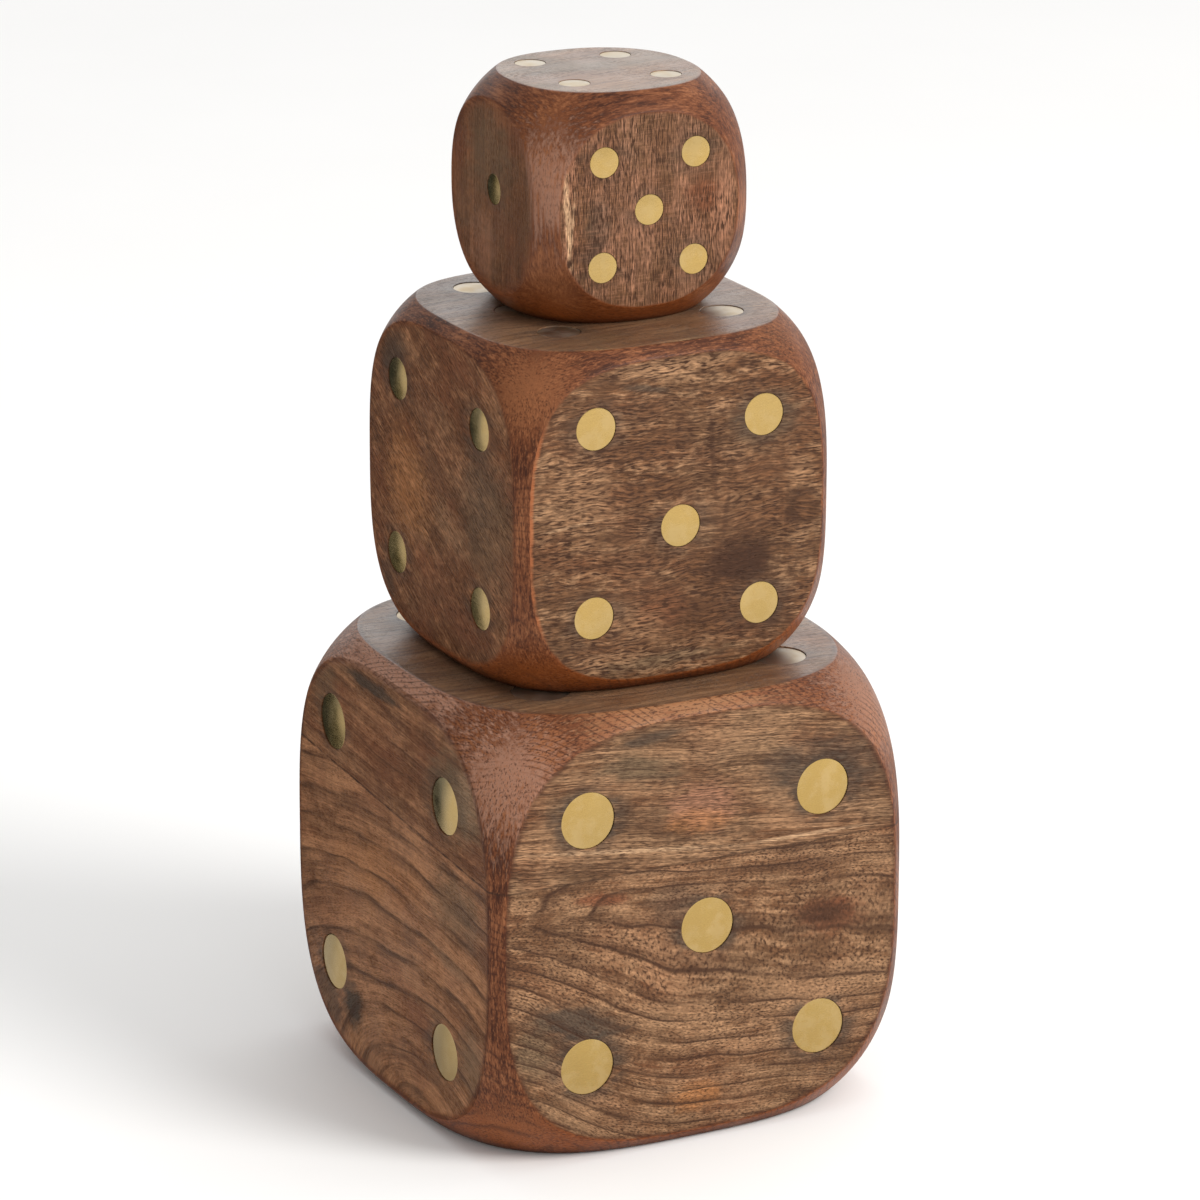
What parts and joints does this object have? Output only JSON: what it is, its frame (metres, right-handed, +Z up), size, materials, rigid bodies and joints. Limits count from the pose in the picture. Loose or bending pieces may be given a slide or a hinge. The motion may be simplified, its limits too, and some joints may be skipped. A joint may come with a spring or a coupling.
{
  "type": "stack of graded wooden dice",
  "caption": "Graded set of rounded solid wood dice with flush brass disc pips, standing one on another as a loose stack.",
  "frame": {"origin": "middle of the large die's underside, on the surface that the stack stands on", "axes": "+Z up the stack, -Y out of the front faces, which show five pips, -X out of the left faces"},
  "size_m": [0.1524, 0.1524, 0.3429],
  "materials": {
    "large_wood": "satin stained mango wood, greyish wash on the faces",
    "middle_wood": "satin stained mango wood, greyish wash on the faces",
    "small_wood": "satin stained mango wood",
    "brass": "sanded and polished flush"
  },
  "bodies": {
    "large_die": {"large_upper_board": "large_wood", "large_lower_board": "large_wood", "large_five_pips": "brass", "large_two_pips": "brass", "large_four_pips": "brass", "large_three_pips": "brass", "large_six_pips": "brass", "large_one_pip": "brass"},
    "middle_die": {"middle_block": "middle_wood", "middle_five_pips": "brass", "middle_two_pips": "brass", "middle_four_pips": "brass", "middle_three_pips": "brass", "middle_six_pips": "brass", "middle_one_pip": "brass"},
    "small_die": {"small_block": "small_wood", "small_five_pips": "brass", "small_two_pips": "brass", "small_one_pip": "brass", "small_six_pips": "brass", "small_four_pips": "brass", "small_three_pips": "brass"}
  },
  "joints": [
    {"name": "middle_die_lift", "type": "slide", "parent": "large_die", "child": "middle_die", "axis": [0, 0, 1], "range_m": [0, 0.06]},
    {"name": "small_die_lift", "type": "slide", "parent": "middle_die", "child": "small_die", "axis": [0, 0, 1], "range_m": [0, 0.06]}
  ]
}
